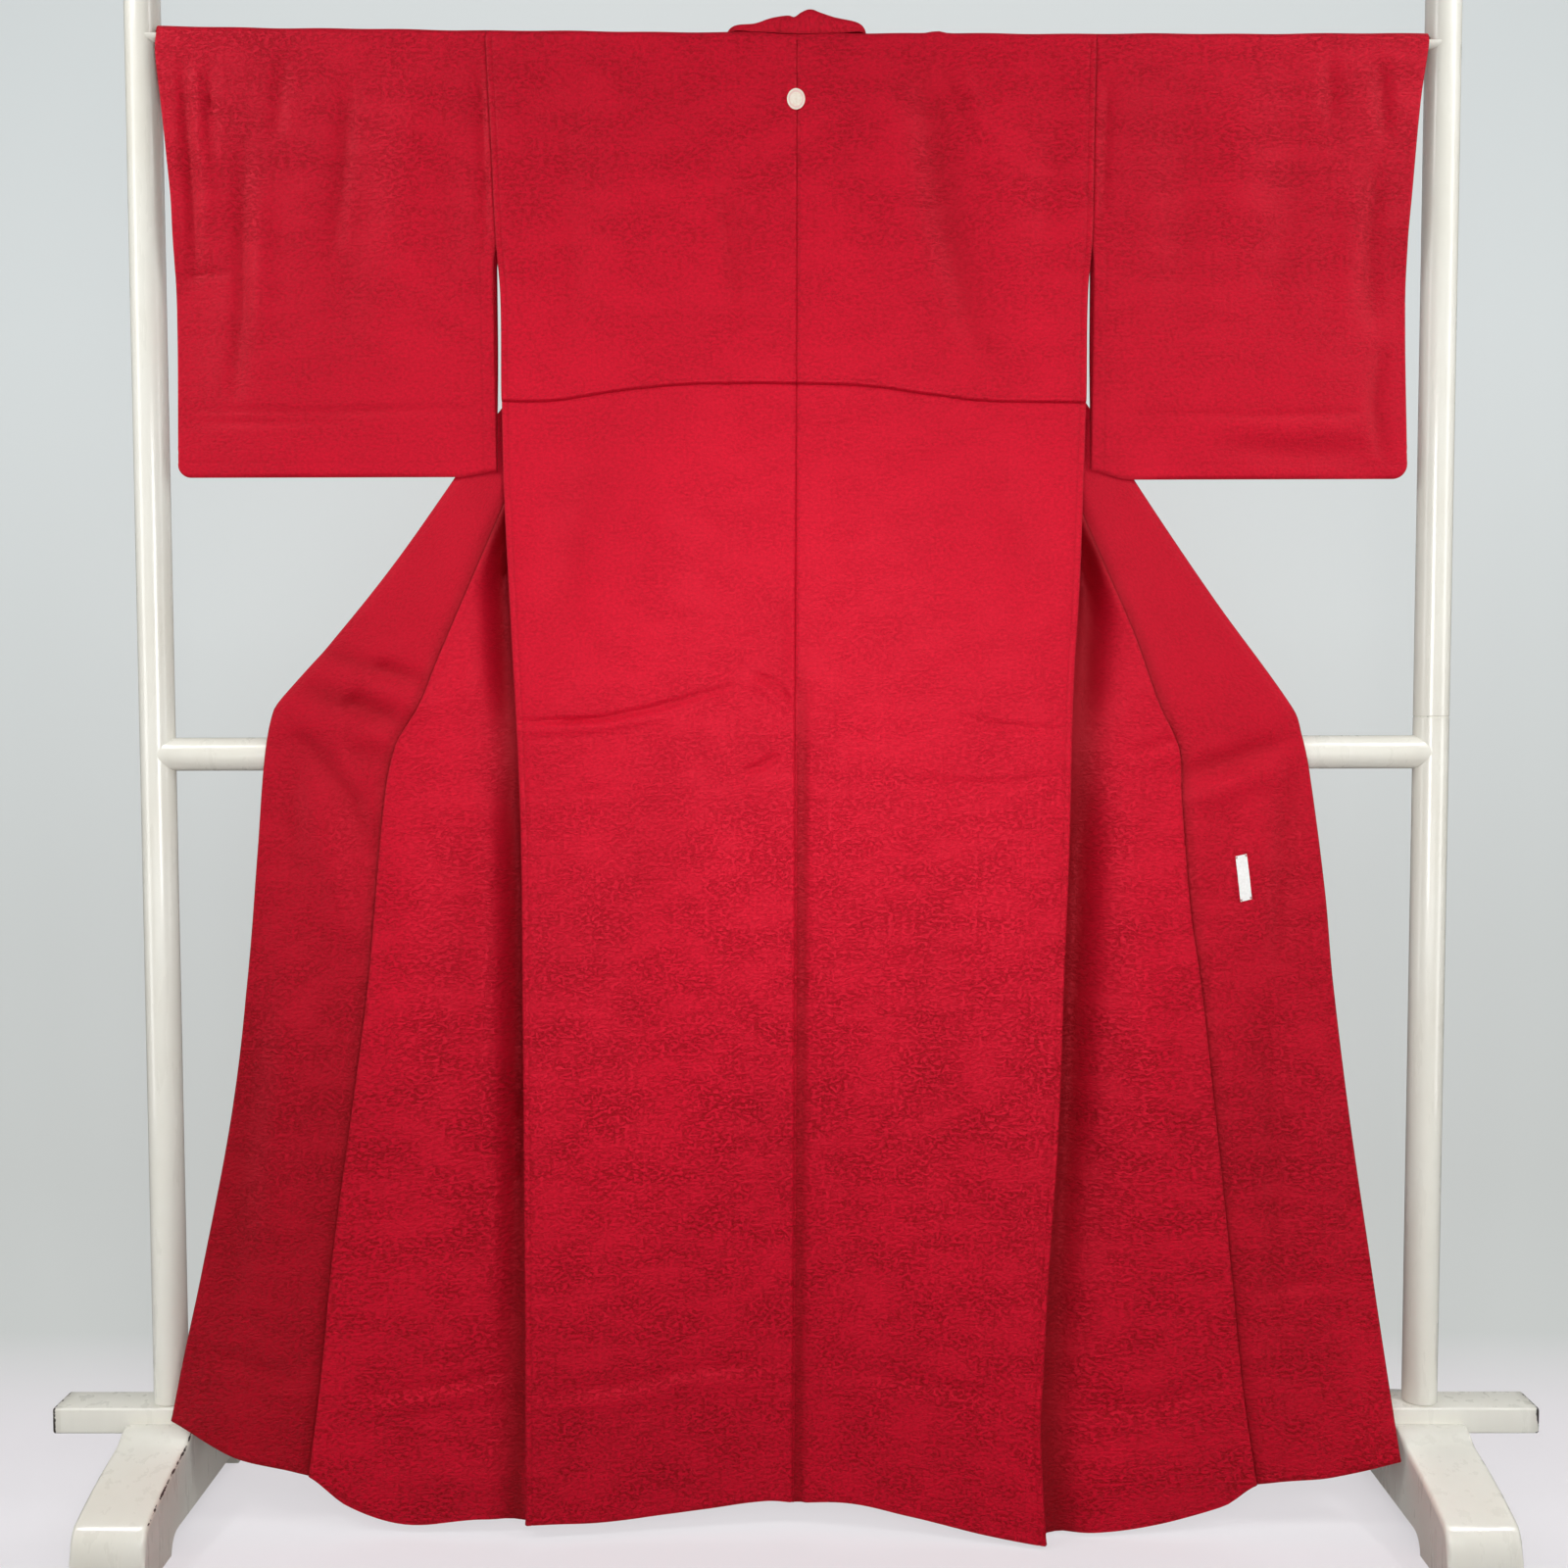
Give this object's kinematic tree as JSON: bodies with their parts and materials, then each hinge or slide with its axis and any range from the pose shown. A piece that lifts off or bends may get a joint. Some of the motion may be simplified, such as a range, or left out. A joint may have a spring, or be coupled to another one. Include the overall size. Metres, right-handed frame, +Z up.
{
  "type": "iromuji kimono on a garment stand",
  "caption": "Plain red silk kimono spread over the rod of a free-standing wooden stand, back to the viewer, its fronts folded in behind and opened out below as wings.",
  "frame": {"origin": "on the floor, under the middle of the stand and the plane of its posts", "axes": "+Z up, +X along the rod to the viewer's right, +Y away from the viewer who looks at the kimono's back"},
  "size_m": [1.5788, 0.347, 1.65],
  "materials": {
    "red_silk": "lined figured silk with a fleck ground in its weave and a soft sheen",
    "crest_ivory": "undyed silk left light in the dyeing",
    "label_cloth": "white woven tape, blank",
    "rod_wood": "dark stained wood",
    "cream_paint": "cream gloss paint on wood, chipped at some edges"
  },
  "bodies": {
    "root": {"back_left": "red_silk", "back_right": "red_silk", "front_left": "red_silk", "front_right": "red_silk", "okumi_left": "red_silk", "okumi_right": "red_silk", "sleeve_left": "red_silk", "sleeve_right": "red_silk", "collar": "red_silk", "crest": "crest_ivory", "label": "label_cloth", "rod": "rod_wood", "rod_cradle_left": "cream_paint", "rod_cradle_right": "cream_paint", "post_left": "cream_paint", "post_right": "cream_paint", "mid_rail": "cream_paint", "bottom_beam": "cream_paint", "foot_left": "cream_paint", "foot_right": "cream_paint"}
  },
  "joints": []
}
